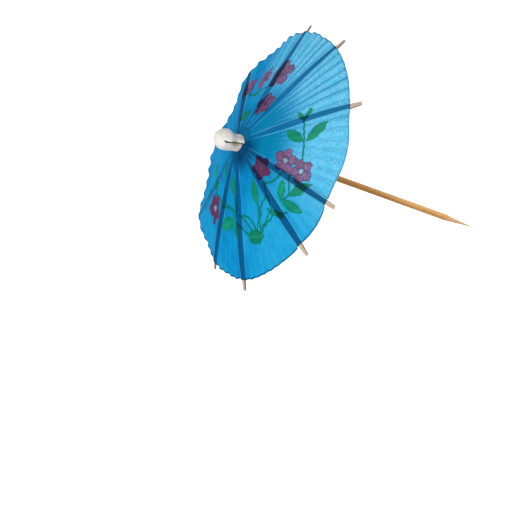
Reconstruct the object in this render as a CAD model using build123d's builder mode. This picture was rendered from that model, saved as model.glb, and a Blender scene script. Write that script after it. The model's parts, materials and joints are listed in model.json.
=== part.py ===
"""Cocktail umbrella pick: a folding paper parasol on a pointed wooden stick.

The stick stands along +Z with its point down. The origin is on the stick's axis, where the point
ends and the full round shank begins. Sizes are in millimetres, angles in degrees.
"""

import os
from dataclasses import dataclass
from math import asin, atan2, cos, degrees, dist, radians, sin, sqrt

from build123d import *

# Stick: a round pick with a long point, thinning a little above the free shank
stick_diameter = 2.0
stick_top_diameter = 1.9
point_length = 9.5
point_end_diameter = 0.3
shank_length = 62.0

# Ribs: their hinge circle in the hub, and a gentle downward bend from hub to tip
hub_pivot_z = 80.0
pivot_radius = 2.9
rib_length = 44.0
rib_hub_angle = 74.0
rib_tip_angle = 64.0
rib_width = 1.8
rib_thickness = 1.0
rib_tip_taper = 7.0
rib_tip_thickness = 0.45
rib_thins_from = 32.0
tongue_width = 0.6
tongue_spare_length = 0.8
full_width_at = 20.0

# The ribs stand about evenly round the hub, each off its place by hand
first_rib_azimuth = 15.85
rib_drifts = (-2.95, 4.85, 5.15, 6.05, -1.45, -7.05, 2.25, -9.95, 0.25, 2.85)

# They are split by hand too: each has its own share of the full bend, its own length and tip width
rib_bows = (0.75, 0.75, 1, 0.1, 1, 1, 1, 1, 1, 1)
rib_length_drifts = (-0.1, -3.8, -0.3, -3.8, -0.7, 0, 0.7, -0.2, 0.2, -0.1)
rib_tip_widths = (0.4, 1.2, 1.2, 1.2, 0.9, 1.1, 0.9, 1.3, 1.2, 0.7)

# Stretchers: from a split in each rib back to the runner
stretcher_reach = 17.0
stretcher_height = 0.9
stretcher_thickness = 0.6
closed_angle = 7.0
split_clearance = 0.1
split_slack = 1.0

# Threads that the ribs and stretchers hinge on
thread_diameter = 0.45
thread_clearance = 0.075
thread_channel_gap = 0.03
tie_diameter = 0.5
tie_clearance = 0.05

# Hub and runner: slotted collars of one size
collar_diameter = 7.0
slot_clearance = 0.075
slot_floor_clearance = 0.2
hub_lip = 0.1
hub_below_pivot = 2.2
runner_half_height = 1.6
glue_gap = 0.02
runner_clearance = 0.12

# Spacer sleeve of rolled paper under the runner, and the ring that holds both up
sleeve_diameter = 4.2
sleeve_length = 3.0
ring_diameter = 3.4
ring_height = 2.2
ring_clearance = 0.03
ring_gap = 0.1

# Paper canopy
paper_thickness = 0.1
paper_gap = 0.12
paper_hub_clearance = 0.25
bare_tip_length = 3.5
fold_angle = 3.0
pleat_depth = 0.5
scallop_depth = 0.45
gore_sag = 0.2
glued_margin = 0.15
glued_gap_share = 0.3
seam_gap = 0.1
gore_stations = 7
crown_overlap = 1.45
crown_lift = 0.15

# Cap
cap_diameter = 7.0
cap_base_diameter = 5.8
cap_height = 9.0
cap_top_wall = 3.2
cap_slit_width = 0.5
cap_slit_height = 6.2
cap_slit_depth = 1.9
cap_slit_azimuth = 270.0

# Worked out from the sizes above
rib_count = len(rib_drifts)
rib_pitch = 360 / rib_count
rib_azimuths = [first_rib_azimuth + rib_pitch * i + drift for i, drift in enumerate(rib_drifts)]
rib_turn = rib_hub_angle - rib_tip_angle
hub_pivot = (pivot_radius, hub_pivot_z)
tongue_length = hub_below_pivot + tongue_spare_length
paper_lift = rib_thickness / 2 + paper_gap


@dataclass
class Bend:
    """A rib's centre line seen from the side: an arc that starts at the hub's hinge."""

    radius: float
    center: tuple
    hub_angle: float

    def angle(self, reach):
        """Direction from the arc's centre to a point along the rib."""
        return self.hub_angle - degrees(reach / self.radius)

    def point(self, reach, lift=0.0):
        """Distance from the stick's axis and height of a point along the rib, lifted square to it."""
        angle = radians(self.angle(reach))
        arm = self.radius + lift
        return self.center[0] + arm * cos(angle), self.center[1] + arm * sin(angle)

    def height(self, radius, lift):
        """Height of the rib's line, lifted square to itself, at a distance from the stick's axis."""
        arm = self.radius + lift
        return self.center[1] + sqrt(arm**2 - (radius - self.center[0]) ** 2)


def make_full_bend():
    """The bend of a fully bowed rib."""
    radius = rib_length / radians(rib_turn)
    turn = radians(rib_hub_angle)
    center = (pivot_radius - radius * cos(turn), hub_pivot_z - radius * sin(turn))
    return Bend(radius, center, rib_hub_angle)


def make_eased_bend(bow):
    """A straighter bend through the same hub hinge and stretcher hinge."""
    radius = full_bend.radius / bow
    slope = atan2(rib_joint[1] - hub_pivot[1], rib_joint[0] - hub_pivot[0])
    drop = sqrt(radius**2 - (link_length / 2) ** 2)
    center = (
        (hub_pivot[0] + rib_joint[0]) / 2 + drop * sin(slope),
        (hub_pivot[1] + rib_joint[1]) / 2 - drop * cos(slope),
    )
    hub_angle = degrees(atan2(hub_pivot[1] - center[1], hub_pivot[0] - center[0]))
    return Bend(radius, center, hub_angle)


def rib_half_width(reach):
    """Half the rib's width, which grows from its tongue to its full width."""
    share = (reach - tongue_length) / (full_width_at - tongue_length)
    share = min(max(share, 0), 1)
    return (tongue_width + (rib_width - tongue_width) * share) / 2


def stick_diameter_at(height):
    """The stick's diameter at a height above its shank."""
    share = (height - shank_length) / (stick_top_z - shank_length)
    return stick_diameter + (stick_top_diameter - stick_diameter) * share


def side_plane(azimuth):
    """A plane through the stick's axis: x runs out from the axis and y up."""
    turn = radians(azimuth)
    return Plane(origin=(0, 0, 0), x_dir=(cos(turn), sin(turn), 0), z_dir=(sin(turn), -cos(turn), 0))


def plan_plane(azimuth, height=0.0):
    """A level plane whose x runs out from the stick's axis."""
    turn = radians(azimuth)
    return Plane(origin=(0, 0, height), x_dir=(cos(turn), sin(turn), 0), z_dir=(0, 0, 1))


def save(part, name):
    """Label a finished piece and write it."""
    part.label = name
    export_step(part, f"parts/{name}.step")


os.makedirs("parts", exist_ok=True)

full_bend = make_full_bend()
rib_joint = full_bend.point(stretcher_reach)
link_length = dist(rib_joint, hub_pivot)
rib_bends = [make_eased_bend(bow) for bow in rib_bows]
runner_pivot_z = 2 * rib_joint[1] - hub_pivot_z
runner_pivot = (pivot_radius, runner_pivot_z)
hub_bottom = hub_pivot_z - hub_below_pivot
hub_top = hub_pivot_z + rib_thickness / 2 + hub_lip
paper_inner_radius = collar_diameter / 2 + paper_hub_clearance
paper_vertical = paper_thickness / sin(radians(rib_hub_angle))
crown_flat_radius = collar_diameter / 2
crown_radius = paper_inner_radius + crown_overlap
gore_top_at_hub = full_bend.height(crown_flat_radius, paper_lift) + paper_vertical
crown_z = max(gore_top_at_hub + crown_lift, hub_top + paper_gap)
cap_base_z = crown_z + paper_thickness + paper_gap
cap_top_z = cap_base_z + cap_height
stick_top_z = cap_top_z - cap_top_wall
runner_bottom = runner_pivot_z - runner_half_height
sleeve_bottom = runner_bottom - sleeve_length
ring_top = sleeve_bottom - ring_gap

# Stick

with BuildPart() as stick:
    with BuildSketch(Plane.XZ):
        with BuildLine():
            Polyline(
                (0, -point_length),
                (point_end_diameter / 2, -point_length),
                (stick_diameter / 2, 0),
                (stick_diameter / 2, shank_length),
                (stick_top_diameter / 2, stick_top_z),
                (0, stick_top_z),
                close=True,
            )
        make_face()
    revolve(axis=Axis.Z)
save(stick.part, "stick")

# Hub and runner, slotted for the ribs and for the stretchers


def make_collar(bottom, height, bore_diameter, pivot_z, slat_height, slat_thickness):
    """A collar with a slot for each slat's end and a round channel for the hinge thread."""
    channel_radius = thread_diameter / 2 + thread_channel_gap
    slot_width = slat_thickness + 2 * slot_clearance
    floor = pivot_radius - slat_height / 2 - slot_floor_clearance
    slots = [
        Location((floor * cos(radians(a)), floor * sin(radians(a)), 0), (0, 0, a)) for a in rib_azimuths
    ]
    with BuildPart() as collar:
        with BuildSketch(Plane.XY.offset(bottom)):
            Circle(collar_diameter / 2)
            Circle(bore_diameter / 2, mode=Mode.SUBTRACT)
            with Locations(*slots):
                Rectangle(collar_diameter, slot_width, align=(Align.MIN, Align.CENTER), mode=Mode.SUBTRACT)
        extrude(amount=height)
        with Locations((0, 0, pivot_z)):
            Torus(pivot_radius, channel_radius, mode=Mode.SUBTRACT)
    return collar.part


def make_thread(height):
    """The ring of thread that a collar's slats hinge on."""
    with BuildPart() as thread:
        with Locations((0, 0, height)):
            Torus(pivot_radius, thread_diameter / 2)
    return thread.part


hub_bore = stick_diameter_at(hub_bottom) + 2 * glue_gap
hub = make_collar(
    hub_bottom, hub_top - hub_bottom, hub_bore, hub_pivot_z, rib_thickness, tongue_width
)
save(hub, "hub")
save(make_thread(hub_pivot_z), "hub_thread")

runner_bore = stick_diameter + 2 * runner_clearance
runner = make_collar(
    runner_bottom,
    2 * runner_half_height,
    runner_bore,
    runner_pivot_z,
    stretcher_height,
    stretcher_thickness,
)
save(runner, "runner")
save(make_thread(runner_pivot_z), "runner_thread")

# Rolled paper sleeve and retaining ring


def make_tube(bottom, height, outer_diameter, bore_diameter):
    """A plain tube round the stick."""
    with BuildPart() as tube:
        with BuildSketch(Plane.XY.offset(bottom)):
            Circle(outer_diameter / 2)
            Circle(bore_diameter / 2, mode=Mode.SUBTRACT)
        extrude(amount=height)
    return tube.part


save(make_tube(sleeve_bottom, sleeve_length, sleeve_diameter, runner_bore), "runner_sleeve")
ring_bore = stick_diameter + 2 * ring_clearance
save(make_tube(ring_top - ring_height, ring_height, ring_diameter, ring_bore), "retaining_ring")

# Ribs, stretchers and the ties between them

thread_hole_diameter = thread_diameter + 2 * thread_clearance
tie_hole_diameter = tie_diameter + 2 * tie_clearance
rib_joint_turn = rib_turn * stretcher_reach / rib_length
open_angle = degrees(atan2(rib_joint[0] - hub_pivot[0], hub_pivot[1] - rib_joint[1]))


def split_reach(angle):
    """How far the split runs from its hinge to let a stretcher cross the rib at an angle."""
    half_rib = rib_thickness / 2 * cos(radians(angle))
    return (half_rib + stretcher_height / 2) / sin(radians(angle)) + split_slack


def make_rib(azimuth, bend, length, tip_width):
    """A bent slat: a thin tongue in the hub, a split for the stretcher, a bare tip, thinner below."""
    tip_angle = bend.angle(length)
    thin_angle = bend.angle(rib_thins_from)
    tip_radius = bend.point(length, rib_thickness)[0]
    tongue_end = bend.point(tongue_length)[0]
    full_width = bend.point(full_width_at)[0]
    taper_start = bend.point(length - rib_tip_taper)[0]
    split_start = bend.point(stretcher_reach - split_reach(180 - 2 * open_angle))[0]
    split_end = bend.point(stretcher_reach + split_reach(2 * closed_angle - rib_joint_turn))[0]
    split_width = stretcher_thickness + 2 * split_clearance
    edge = [
        (pivot_radius - rib_thickness, tongue_width / 2),
        (tongue_end, tongue_width / 2),
        (full_width, rib_width / 2),
        (taper_start, rib_width / 2),
        (tip_radius, tip_width / 2),
    ]
    with BuildPart() as rib:
        with BuildSketch(side_plane(azimuth)):
            with BuildLine():
                top = CenterArc(
                    bend.center, bend.radius + rib_thickness / 2, tip_angle, bend.hub_angle - tip_angle
                )
                bottom = CenterArc(
                    bend.center, bend.radius - rib_thickness / 2, thin_angle, bend.hub_angle - thin_angle
                )
                under_tip = bend.point(length, rib_thickness / 2 - rib_tip_thickness)
                Polyline(top @ 0, under_tip, bottom @ 0)
                Line(top @ 1, bottom @ 1)
            make_face()
            with Locations(hub_pivot):
                Circle(rib_thickness / 2)
        extrude(amount=rib_width / 2, both=True)
        with BuildSketch(plan_plane(azimuth, hub_pivot_z)):
            with BuildLine():
                Polyline(*edge, *[(x, -y) for x, y in reversed(edge)], close=True)
            make_face()
            with BuildLine():
                Polyline(
                    (split_start, -split_width / 2),
                    (split_end, -split_width / 2),
                    (split_end, split_width / 2),
                    (split_start, split_width / 2),
                    close=True,
                )
            make_face(mode=Mode.SUBTRACT)
        extrude(amount=rib_length, both=True, mode=Mode.INTERSECT)
        with BuildSketch(side_plane(azimuth)):
            with Locations(hub_pivot):
                Circle(thread_hole_diameter / 2)
            with Locations(rib_joint):
                Circle(tie_diameter / 2)
        extrude(amount=rib_width, both=True, mode=Mode.SUBTRACT)
    return rib.part


def make_stretcher(azimuth):
    """A straight slat on edge from the rib's split to the runner's slot."""
    middle = ((rib_joint[0] + runner_pivot[0]) / 2, (rib_joint[1] + runner_pivot[1]) / 2)
    slope = degrees(atan2(rib_joint[1] - runner_pivot[1], rib_joint[0] - runner_pivot[0]))
    with BuildPart() as stretcher:
        with BuildSketch(side_plane(azimuth)):
            with Locations(middle):
                SlotCenterToCenter(link_length, stretcher_height, rotation=slope)
            with Locations(rib_joint):
                Circle(tie_hole_diameter / 2, mode=Mode.SUBTRACT)
            with Locations(runner_pivot):
                Circle(thread_hole_diameter / 2, mode=Mode.SUBTRACT)
        extrude(amount=stretcher_thickness / 2, both=True)
    return stretcher.part


def make_tie(azimuth):
    """A length of thread through the rib and the end of its stretcher."""
    with BuildPart() as tie:
        with BuildSketch(side_plane(azimuth)):
            with Locations(rib_joint):
                Circle(tie_diameter / 2)
        extrude(amount=rib_half_width(stretcher_reach), both=True)
    return tie.part


for number, azimuth in enumerate(rib_azimuths, 1):
    own_length = rib_length + rib_length_drifts[number - 1]
    rib = make_rib(azimuth, rib_bends[number - 1], own_length, rib_tip_widths[number - 1])
    save(rib, f"rib_{number}")
    save(make_stretcher(azimuth), f"stretcher_{number}")
    save(make_tie(azimuth), f"tie_{number}")

# Paper canopy: a pleated gore on each rib, and a small crown under the cap

rim_radius = full_bend.point(rib_length - bare_tip_length, paper_lift)[0]
glued_half_width = rib_width / 2 + glued_margin


def gap_folds(gap, radius):
    """Fold lines from a rib to the middle of a gap: (angle, share of the gap, valley or not)."""
    glued = min(degrees(glued_half_width / radius), glued_gap_share * gap)
    count = round(gap / 2 / fold_angle)
    shares = [step / (2 * count) for step in range(count + 1)]
    return [(glued + (gap - 2 * glued) * share, share, step % 2) for step, share in enumerate(shares)]


def gore_folds(gap_before, gap_after, radius):
    """Fold lines right across a gore, from one seam to the other."""
    before = [(-angle, share, valley) for angle, share, valley in reversed(gap_folds(gap_before, radius))]
    return before + gap_folds(gap_after, radius)


def fold_height(bend, next_bend, share, valley, radius):
    """Height of a fold line, which goes over from one rib's bend to the next one's."""
    grown = radius / rim_radius
    sag = gore_sag * 4 * share * (1 - share) * grown**2
    rib_line = bend.height(radius, paper_lift)
    next_line = next_bend.height(radius, paper_lift)
    return rib_line + (next_line - rib_line) * share - sag - pleat_depth * grown * valley


def gore_outline(gap_before, gap_after):
    """The gore seen from above: two straight seams, a scalloped rim and a short inner edge."""
    folds = gore_folds(gap_before, gap_after, rim_radius)
    rim = [(rim_radius - scallop_depth * valley, angle) for angle, _, valley in folds]
    seam_turn = degrees(asin(seam_gap / 2 / rim_radius))
    rim[0] = (rim[0][0], rim[0][1] + seam_turn)
    rim[-1] = (rim[-1][0], rim[-1][1] - seam_turn)
    inner_turn = degrees(asin(seam_gap / 2 / paper_inner_radius))
    inner = [
        (paper_inner_radius, gap_after / 2 - inner_turn),
        (paper_inner_radius, 0),
        (paper_inner_radius, inner_turn - gap_before / 2),
    ]
    return [(r * cos(radians(a)), r * sin(radians(a))) for r, a in rim + inner]


def make_gore(azimuth, gap_before, gap_after, bend_before, bend, bend_after):
    """Pleated paper from seam to seam, lofted outwards through upright sections and cut to its outline."""
    first = paper_inner_radius * cos(radians(max(gap_before, gap_after) / 2))
    stations = [first + (rim_radius - first) * i / (gore_stations - 1) for i in range(gore_stations)]
    stations[0] -= paper_gap
    stations[-1] += paper_gap
    turn = radians(azimuth)
    outward = (cos(turn), sin(turn), 0)
    with BuildPart() as gore:
        for station in stations:
            lower = []
            for angle, share, valley in gore_folds(gap_before, gap_after, station):
                radius = station / cos(radians(angle))
                next_bend = bend_before if angle < 0 else bend_after
                height = fold_height(bend, next_bend, share, valley, radius)
                lower.append((radius * sin(radians(angle)), height))
            upper = [(x, y + paper_vertical) for x, y in reversed(lower)]
            place = Plane(
                origin=(station * outward[0], station * outward[1], 0),
                x_dir=(-outward[1], outward[0], 0),
                z_dir=outward,
            )
            with BuildSketch(place):
                with BuildLine():
                    Polyline(*lower, *upper, close=True)
                make_face()
        loft(ruled=True)
        with BuildSketch(plan_plane(azimuth, hub_pivot_z)):
            with BuildLine():
                Polyline(*gore_outline(gap_before, gap_after), close=True)
            make_face()
        extrude(amount=rib_length, both=True, mode=Mode.INTERSECT)
    return gore.part


for number, azimuth in enumerate(rib_azimuths, 1):
    gap_after = (rib_azimuths[number % rib_count] - azimuth) % 360
    gap_before = (azimuth - rib_azimuths[number - 2]) % 360
    bends = (rib_bends[number - 2], rib_bends[number - 1], rib_bends[number % rib_count])
    save(make_gore(azimuth, gap_before, gap_after, *bends), f"canopy_gore_{number}")

crown_drop = full_bend.height(crown_flat_radius, paper_lift) - full_bend.height(crown_radius, paper_lift)
crown_bore = stick_diameter_at(crown_z) + 2 * glue_gap
with BuildPart() as canopy_crown:
    with BuildSketch(Plane.XZ):
        with BuildLine():
            Polyline(
                (crown_bore / 2, crown_z),
                (crown_flat_radius, crown_z),
                (crown_radius, crown_z - crown_drop),
                (crown_radius, crown_z - crown_drop + paper_thickness),
                (crown_flat_radius, crown_z + paper_thickness),
                (crown_bore / 2, crown_z + paper_thickness),
                close=True,
            )
        make_face()
    revolve(axis=Axis.Z)
save(canopy_crown.part, "canopy_crown")

# Cap: a rounded plastic finial with a slit up one side, pressed on the top of the stick

cap_bore = stick_diameter_at(cap_base_z) + 2 * glue_gap
shoulder_z = cap_top_z - cap_diameter / 2
with BuildPart() as cap:
    with BuildSketch(Plane.XZ):
        with BuildLine():
            dome = CenterArc((0, shoulder_z), cap_diameter / 2, 0, 90)
            side = TangentArc(dome @ 0, (cap_base_diameter / 2, cap_base_z), tangent=(0, -1))
            Polyline(
                side @ 1,
                (cap_bore / 2, cap_base_z),
                (cap_bore / 2, stick_top_z + glue_gap),
                (0, stick_top_z + glue_gap),
                dome @ 1,
            )
        make_face()
    revolve(axis=Axis.Z)
    with BuildSketch(plan_plane(cap_slit_azimuth, cap_base_z)):
        with Locations((cap_diameter / 2 - cap_slit_depth, 0)):
            Rectangle(cap_diameter, cap_slit_width, align=(Align.MIN, Align.CENTER))
    extrude(amount=cap_slit_height, mode=Mode.SUBTRACT)
save(cap.part, "cap")

print("rib joint", rib_joint, "open angle", open_angle)
print("runner pivot height", runner_pivot_z, "rim radius", rim_radius, "top", cap_top_z)
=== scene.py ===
# %% [markdown]
# # A cocktail umbrella pick
# A small paper parasol on a pointed stick: ten slat ribs hinge on a hub, ten stretchers push them open
# from a runner that slides on the stick, and a sheet of dyed, pleated paper is glued over the ribs.
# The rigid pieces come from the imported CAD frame. This script dresses them: it makes the paper, the cap
# and the small rolled and turned pieces as real surfaces, and gives every piece its finish.

# %% The frame
import json
import math

import bmesh
import bpy
import numpy as np
from mathutils import Matrix, Vector


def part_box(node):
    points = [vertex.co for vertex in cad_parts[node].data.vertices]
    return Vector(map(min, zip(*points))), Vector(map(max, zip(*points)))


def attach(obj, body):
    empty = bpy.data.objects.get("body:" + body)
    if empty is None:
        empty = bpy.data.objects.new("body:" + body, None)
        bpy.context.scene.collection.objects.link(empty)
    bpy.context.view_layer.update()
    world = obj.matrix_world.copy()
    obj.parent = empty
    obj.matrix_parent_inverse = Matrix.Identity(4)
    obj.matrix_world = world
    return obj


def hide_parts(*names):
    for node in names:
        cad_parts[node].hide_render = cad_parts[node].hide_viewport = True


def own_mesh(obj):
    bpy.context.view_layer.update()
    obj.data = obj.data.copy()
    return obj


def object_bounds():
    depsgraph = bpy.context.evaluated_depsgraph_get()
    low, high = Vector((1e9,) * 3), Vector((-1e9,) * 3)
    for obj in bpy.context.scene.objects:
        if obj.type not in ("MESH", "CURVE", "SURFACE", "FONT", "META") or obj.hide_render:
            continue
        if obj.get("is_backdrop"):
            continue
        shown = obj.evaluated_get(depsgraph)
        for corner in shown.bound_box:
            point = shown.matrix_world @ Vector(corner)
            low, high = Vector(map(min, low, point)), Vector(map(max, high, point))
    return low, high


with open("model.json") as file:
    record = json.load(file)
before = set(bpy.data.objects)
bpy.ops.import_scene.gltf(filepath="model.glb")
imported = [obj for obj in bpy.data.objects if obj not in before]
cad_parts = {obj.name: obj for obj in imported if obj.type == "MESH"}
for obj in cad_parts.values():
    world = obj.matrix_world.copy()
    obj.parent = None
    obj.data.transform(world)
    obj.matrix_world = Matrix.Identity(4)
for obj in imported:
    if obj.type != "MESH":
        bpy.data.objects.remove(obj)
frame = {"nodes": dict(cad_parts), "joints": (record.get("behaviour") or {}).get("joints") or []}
cad_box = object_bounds()

# %% [markdown]
# ## The camera
# The picture was taken from far away with a long lens, so parallel lines stay nearly parallel. The umbrella
# leans over in it, which here is a roll of the camera, because the object stands upright along +Z. Three
# angles place the camera, and where the stick's shoulder falls in the picture.

# %% Camera
mm = 0.001
elevation, azimuth, roll = (math.radians(a) for a in (29.53, 0.51, -70.5))
camera_distance, lens_mm, sensor_mm = 3.0, 646.1, 36
shoulder_right, shoulder_up = 59.71 * mm, 13.66 * mm


def add_to_scene(name, data):
    """A new object in the scene."""
    made = bpy.data.objects.new(name, data)
    bpy.context.scene.collection.objects.link(made)
    return made


level = math.cos(elevation)
level_right = Vector((math.cos(azimuth), math.sin(azimuth), 0))
camera_back = Vector((math.sin(azimuth) * level, -math.cos(azimuth) * level, math.sin(elevation)))
level_up = camera_back.cross(level_right)
camera_right = math.cos(roll) * level_right + math.sin(roll) * level_up
camera_up = math.cos(roll) * level_up - math.sin(roll) * level_right

camera = add_to_scene("camera", bpy.data.cameras.new("camera"))
camera.data.sensor_width = sensor_mm
camera.data.lens = lens_mm
place = camera_back * camera_distance - camera_right * shoulder_right - camera_up * shoulder_up
turn = Matrix((camera_right, camera_up, camera_back)).transposed()
camera.matrix_world = Matrix.Translation(place) @ turn.to_4x4()
bpy.context.scene.camera = camera
print("camera at", [round(c, 3) for c in place])

# %% [markdown]
# ## Sizes taken from the frame
# The ribs were set by hand, so the gaps between them differ. Each rib's direction is read from its hinge in
# the frame, and the few other sizes that the paper follows are repeated from the CAD model.

# %% Rib directions
rib_hinges = {j["child"]: j for j in frame["joints"] if j["child"].startswith("rib_")}
rib_count = len(rib_hinges)
rib_names = [f"rib_{k + 1}" for k in range(rib_count)]
rib_turns = []
for rib in rib_names:
    hinge_x, hinge_y, hub_pivot_z = rib_hinges[rib]["pos_m"]
    rib_turns.append(math.atan2(hinge_y, hinge_x) % math.tau)
pivot_radius = math.hypot(hinge_x, hinge_y)
rib_gaps = [(rib_turns[(k + 1) % rib_count] - rib_turns[k]) % math.tau for k in range(rib_count)]
print("gaps between ribs:", [round(math.degrees(g), 1) for g in rib_gaps])

# %% Sizes of the ribs and of the paper on them
rib_length, rib_width, rib_thickness = 44 * mm, 1.8 * mm, 1.0 * mm
rib_hub_angle, rib_tip_angle = math.radians(74), math.radians(64)
rib_bows = (0.75, 0.75, 1, 0.1, 1, 1, 1, 1, 1, 1)
stretcher_reach = 17 * mm
glue_and_paper = 0.17 * mm
paper_lift = rib_thickness / 2 + glue_and_paper
bare_tip = 3.5 * mm
paper_inner = 3.75 * mm

bend_radius = rib_length / (rib_hub_angle - rib_tip_angle)
bend_centre = pivot_radius - bend_radius * math.cos(rib_hub_angle)
joint_turn = rib_hub_angle - stretcher_reach / bend_radius
joint_radius = bend_centre + bend_radius * math.cos(joint_turn)
joint_drop = bend_radius * (math.sin(rib_hub_angle) - math.sin(joint_turn))
hinge_slope = math.atan2(-joint_drop, joint_radius - pivot_radius)
hinge_distance = math.hypot(joint_drop, joint_radius - pivot_radius)
tip_turn = rib_hub_angle - (rib_length - bare_tip) / bend_radius
paper_rim = bend_centre + (bend_radius + paper_lift) * math.cos(tip_turn)
print("paper runs from", round(paper_inner / mm, 2), "to", round(paper_rim / mm, 2), "mm")


# %% The line of the paper along a rib
def rib_line(bow, reach, root):
    """Height of the paper on a rib with this share of the full bend, by numbers or by wires.

    Every rib's line is an arc through its two hinges, and a smaller bow means a wider arc.
    """
    radius = bend_radius / bow
    drop = root(radius * radius - (hinge_distance / 2) ** 2)
    centre = drop * math.sin(hinge_slope) + (pivot_radius + joint_radius) / 2
    centre_height = hub_pivot_z - joint_drop / 2 - drop * math.cos(hinge_slope)
    arm, along = radius + paper_lift, reach - centre
    return centre_height + root(arm * arm - along * along)


def paper_height(radius):
    """Height of the paper on a fully bowed rib at a distance from the stick's axis."""
    return rib_line(1.0, radius, math.sqrt)


print("paper's height at the rim:", round(paper_height(paper_rim) / mm, 2), "mm")

# %% [markdown]
# ## Writing node trees in plain sums
# Geometry Nodes and materials are both graphs of small sums. Wiring dozens of Math nodes by hand is hard to
# read, so a Wire stands for a value in a tree: adding or multiplying wires adds the Math nodes, and a
# formula still reads as a formula.


# %% Wires
def plug(tree, socket, value):
    """Feed a socket from a wire, or set it to a plain value."""
    if isinstance(value, Wire):
        tree.links.new(value.socket, socket)
    else:
        socket.default_value = value


def node(tree, kind, inputs=None, **settings):
    """Add a node, set its options, and feed its inputs by name or number."""
    made = tree.nodes.new(kind)
    for name, value in settings.items():
        setattr(made, name, value)
    for name, value in (inputs or {}).items():
        plug(tree, made.inputs[name], value)
    return made


class Wire:
    """A value that flows through a node tree. Sums of wires add Math nodes."""

    def __init__(self, tree, socket):
        self.tree, self.socket = tree, socket

    def calc(self, operation, *others):
        made = node(self.tree, "ShaderNodeMath", dict(enumerate((self, *others))), operation=operation)
        return Wire(self.tree, made.outputs[0])

    def __add__(self, other):
        return self.calc("ADD", other)

    def __sub__(self, other):
        return self.calc("SUBTRACT", other)

    def __mul__(self, other):
        return self.calc("MULTIPLY", other)

    def __truediv__(self, other):
        return self.calc("DIVIDE", other)

    def __rsub__(self, other):
        return self * -1 + other

    def __rtruediv__(self, other):
        return self.calc("POWER", -1) * other

    __radd__, __rmul__ = __add__, __mul__

    def over(self, low, high):
        """0 where the value is at or below low, 1 at or above high, smooth between."""
        ends = {"Value": self, "From Min": low, "From Max": high}
        return wire(self.tree, node(self.tree, "ShaderNodeMapRange", ends, interpolation_type="SMOOTHSTEP"))

    def under(self, low, high):
        """1 where the value is at or below low, 0 at or above high, smooth between."""
        return 1 - self.over(low, high)


def wire(tree, made, output=0):
    """The wire that leaves a node."""
    return Wire(tree, made.outputs[output])


print("wires ready")


# %% Vectors and noise
def point(x, y, z=0.0):
    """One vector wire from a wire and two wires or numbers."""
    return wire(x.tree, node(x.tree, "ShaderNodeCombineXYZ", {0: x, 1: y, 2: z}))


def parts_of(vector):
    """The three numbers of a vector wire."""
    made = node(vector.tree, "ShaderNodeSeparateXYZ", {0: vector})
    return [wire(vector.tree, made, i) for i in range(3)]


def noise(where, scale, detail=2.0, roughness=0.5, distortion=0.0):
    """Soft noise from 0 to 1 at a vector."""
    looks = {"Scale": scale, "Detail": detail, "Roughness": roughness, "Distortion": distortion}
    return wire(where.tree, node(where.tree, "ShaderNodeTexNoise", {"Vector": where, **looks}), "Fac")


def chance(where):
    """A number from 0 to 1 that is a different one for every vector."""
    made = node(where.tree, "ShaderNodeTexWhiteNoise", {"Vector": where}, noise_dimensions="3D")
    return wire(where.tree, made, "Value")


print("vectors and noise ready")

# %% [markdown]
# ## The pleated paper, as a rule
# The canopy is one pleated sheet on the real object. Here it is ten gores that meet in the middle of the
# gaps, so that each can follow its own rib when the umbrella folds. Ten gores could be modelled by hand,
# but their shape is a rule: the paper is glued flat to the rib, then goes down and up in folds to the
# middle of each gap, more of them in a wider gap. So one Geometry Nodes tree bends a flat grid by that
# rule.

# %% What a gore is given
gore_tree = t = bpy.data.node_groups.new("pleated gore", "GeometryNodeTree")
by_side = [f"{label} {side}" for label in ("Gap", "Folds", "Bow") for side in ("before", "after")]
labels = ["Rib direction", *by_side, "Bow", "Seed"]
for label in labels:
    t.interface.new_socket(label, in_out="INPUT", socket_type="NodeSocketFloat")
t.interface.new_socket("Finish", in_out="INPUT", socket_type="NodeSocketMaterial")
t.interface.new_socket("Geometry", in_out="OUTPUT", socket_type="NodeSocketGeometry")
entry = node(t, "NodeGroupInput")
given = {label: wire(t, entry, label) for label in (*labels, "Finish")}
print("a gore is given:", *given, sep="\n  ")

# %% Folds across a gore
band_steps, fold_steps, rows = 4, 60, 111
half_steps = band_steps + fold_steps
columns = 2 * half_steps + 1
band_share = band_steps / half_steps
fold_softness = 0.07
lowest_pleat, highest_pleat, seam_pleat = 0.5, 1.2, 0.85

grid_size = {"Size X": 1.0, "Size Y": 1.0, "Vertices X": rows, "Vertices Y": columns}
grid = node(t, "GeometryNodeMeshGrid", grid_size)
flat_x, flat_y, _ = parts_of(wire(t, node(t, "GeometryNodeInputPosition")))
outwards = flat_x + 0.5
side = flat_y * 2
half = side.calc("ABSOLUTE")
hand = side.calc("SIGN")
after = side.calc("GREATER_THAN", 0)


def on_this_side(label):
    """The value before the rib or after it, by the side that a point is on."""
    return given[f"{label} before"] + (given[f"{label} after"] - given[f"{label} before"]) * after


gap, folds = on_this_side("Gap"), on_this_side("Folds")
past_band = ((half - band_share) / (1 - band_share)).calc("MAXIMUM", 0)
in_band = (half / band_share).calc("MINIMUM", 1)
fold = past_band * folds
share = past_band / 2
slope = fold.calc("PINGPONG", 1)
crest = slope - (slope * math.tau).calc("SINE") * fold_softness
pleat = (fold / 2).calc("FLOOR") * hand
uneven = chance(point(pleat, hand, given["Seed"])) * (highest_pleat - lowest_pleat) + lowest_pleat
at_seam = (fold - folds + 1).calc("MAXIMUM", 0)
crest = crest * (uneven + (seam_pleat - uneven) * at_seam)
print("gore grid:", rows, "by", columns, "points")

# %% [markdown]
# ## The rim, cut by hand
# The sheet is cut by hand, so its rim is a little off centre, and it stands up or out where the paper has
# warped. A random wobble would do for any umbrella, but this one's rim shows in the picture. A measuring
# script compared it with an even rim, and a few places kept from that, rounded to 0.05 mm, say how far the
# rim is lifted and how far it stands out. One picture can't tell these two apart, so their split is a
# guess. A smooth curve joins the places.

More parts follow.
